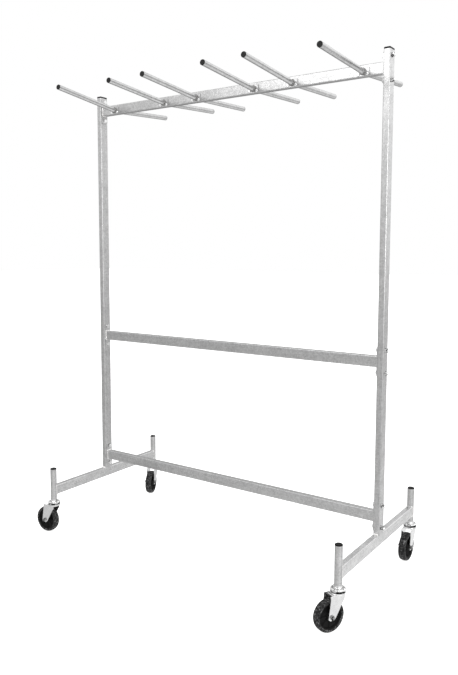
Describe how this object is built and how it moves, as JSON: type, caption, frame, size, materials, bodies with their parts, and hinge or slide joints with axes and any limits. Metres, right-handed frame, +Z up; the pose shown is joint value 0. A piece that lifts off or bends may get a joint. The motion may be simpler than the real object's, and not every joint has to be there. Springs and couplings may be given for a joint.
{
  "type": "rolling clothes rack",
  "caption": "Rolling garment rack of bright rectangular steel tube with rising round arms on both sides of the top rail and swivel casters.",
  "frame": {"origin": "the point on the floor under the middle of the rack, halfway between the posts and in the plane of the rails", "axes": "+Z up, +X along the rails towards the right post, -Y towards the front arms"},
  "size_m": [1.3738, 0.7129, 1.78],
  "materials": {
    "tyre_rubber": "matte",
    "wheel_core": "matte",
    "fork_steel": "polished",
    "race_steel": "polished",
    "ball_steel": "polished",
    "axle_steel": "satin",
    "black_caps": "matte",
    "sleeve_plastic": "matte",
    "weld_metal": "satin",
    "fasteners": "satin",
    "arm_steel": "satin",
    "socket_steel": "satin",
    "tube_steel": "satin"
  },
  "bodies": {
    "frame": {"arm_bolts": "fasteners", "arm_caps": "black_caps", "arm_nuts": "fasteners", "bottom_rail": "tube_steel", "caster_fl_stem": "race_steel", "caster_fr_stem": "race_steel", "caster_rl_stem": "race_steel", "caster_rr_stem": "race_steel", "front_arm_1": "arm_steel", "front_arm_2": "arm_steel", "front_arm_3": "arm_steel", "front_arm_4": "arm_steel", "front_arm_5": "arm_steel", "front_arm_6": "arm_steel", "left_leg": "tube_steel", "left_post": "tube_steel", "middle_rail": "tube_steel", "post_plugs": "black_caps", "rail_bolts": "fasteners", "rail_end_plates": "tube_steel", "rail_nuts": "fasteners", "rail_washers": "fasteners", "rear_arm_1": "arm_steel", "rear_arm_2": "arm_steel", "rear_arm_3": "arm_steel", "rear_arm_4": "arm_steel", "rear_arm_5": "arm_steel", "rear_arm_6": "arm_steel", "right_leg": "tube_steel", "right_post": "tube_steel", "socket_caps": "black_caps", "socket_front_left": "socket_steel", "socket_front_right": "socket_steel", "socket_rear_left": "socket_steel", "socket_rear_right": "socket_steel", "stem_sleeves": "sleeve_plastic", "top_rail": "tube_steel", "weld_beads": "weld_metal"},
    "swivel_front_left": {"caster_fl_fork": "fork_steel", "caster_fl_balls": "ball_steel", "caster_fl_axle": "axle_steel"},
    "wheel_front_left": {"caster_fl_core": "wheel_core", "caster_fl_tyre": "tyre_rubber"},
    "swivel_front_right": {"caster_fr_fork": "fork_steel", "caster_fr_balls": "ball_steel", "caster_fr_axle": "axle_steel"},
    "wheel_front_right": {"caster_fr_core": "wheel_core", "caster_fr_tyre": "tyre_rubber"},
    "swivel_rear_left": {"caster_rl_fork": "fork_steel", "caster_rl_balls": "ball_steel", "caster_rl_axle": "axle_steel"},
    "wheel_rear_left": {"caster_rl_core": "wheel_core", "caster_rl_tyre": "tyre_rubber"},
    "swivel_rear_right": {"caster_rr_fork": "fork_steel", "caster_rr_balls": "ball_steel", "caster_rr_axle": "axle_steel"},
    "wheel_rear_right": {"caster_rr_core": "wheel_core", "caster_rr_tyre": "tyre_rubber"}
  },
  "joints": [
    {"name": "swivel_turn_front_left", "type": "hinge", "parent": "frame", "child": "swivel_front_left", "pos_m": [-0.632, -0.305, 0.1], "axis": [0, 0, 1], "continuous": true},
    {"name": "wheel_spin_front_left", "type": "hinge", "parent": "swivel_front_left", "child": "wheel_front_left", "pos_m": [-0.66637, -0.30801, 0.051], "axis": [0.0872, -0.9962, 0], "continuous": true},
    {"name": "swivel_turn_front_right", "type": "hinge", "parent": "frame", "child": "swivel_front_right", "pos_m": [0.632, -0.305, 0.1], "axis": [0, 0, 1], "continuous": true},
    {"name": "wheel_spin_front_right", "type": "hinge", "parent": "swivel_front_right", "child": "wheel_front_right", "pos_m": [0.61634, -0.33574, 0.051], "axis": [0.891, -0.454, 0], "continuous": true},
    {"name": "swivel_turn_rear_left", "type": "hinge", "parent": "frame", "child": "swivel_rear_left", "pos_m": [-0.632, 0.305, 0.1], "axis": [0, 0, 1], "continuous": true},
    {"name": "wheel_spin_rear_left", "type": "hinge", "parent": "swivel_rear_left", "child": "wheel_rear_left", "pos_m": [-0.61852, 0.27324, 0.051], "axis": [0.9205, 0.3907, 0], "continuous": true},
    {"name": "swivel_turn_rear_right", "type": "hinge", "parent": "frame", "child": "swivel_rear_right", "pos_m": [0.632, 0.305, 0.1], "axis": [0, 0, 1], "continuous": true},
    {"name": "wheel_spin_rear_right", "type": "hinge", "parent": "swivel_rear_right", "child": "wheel_rear_right", "pos_m": [0.632, 0.2705, 0.051], "axis": [1, 0, 0], "continuous": true}
  ]
}
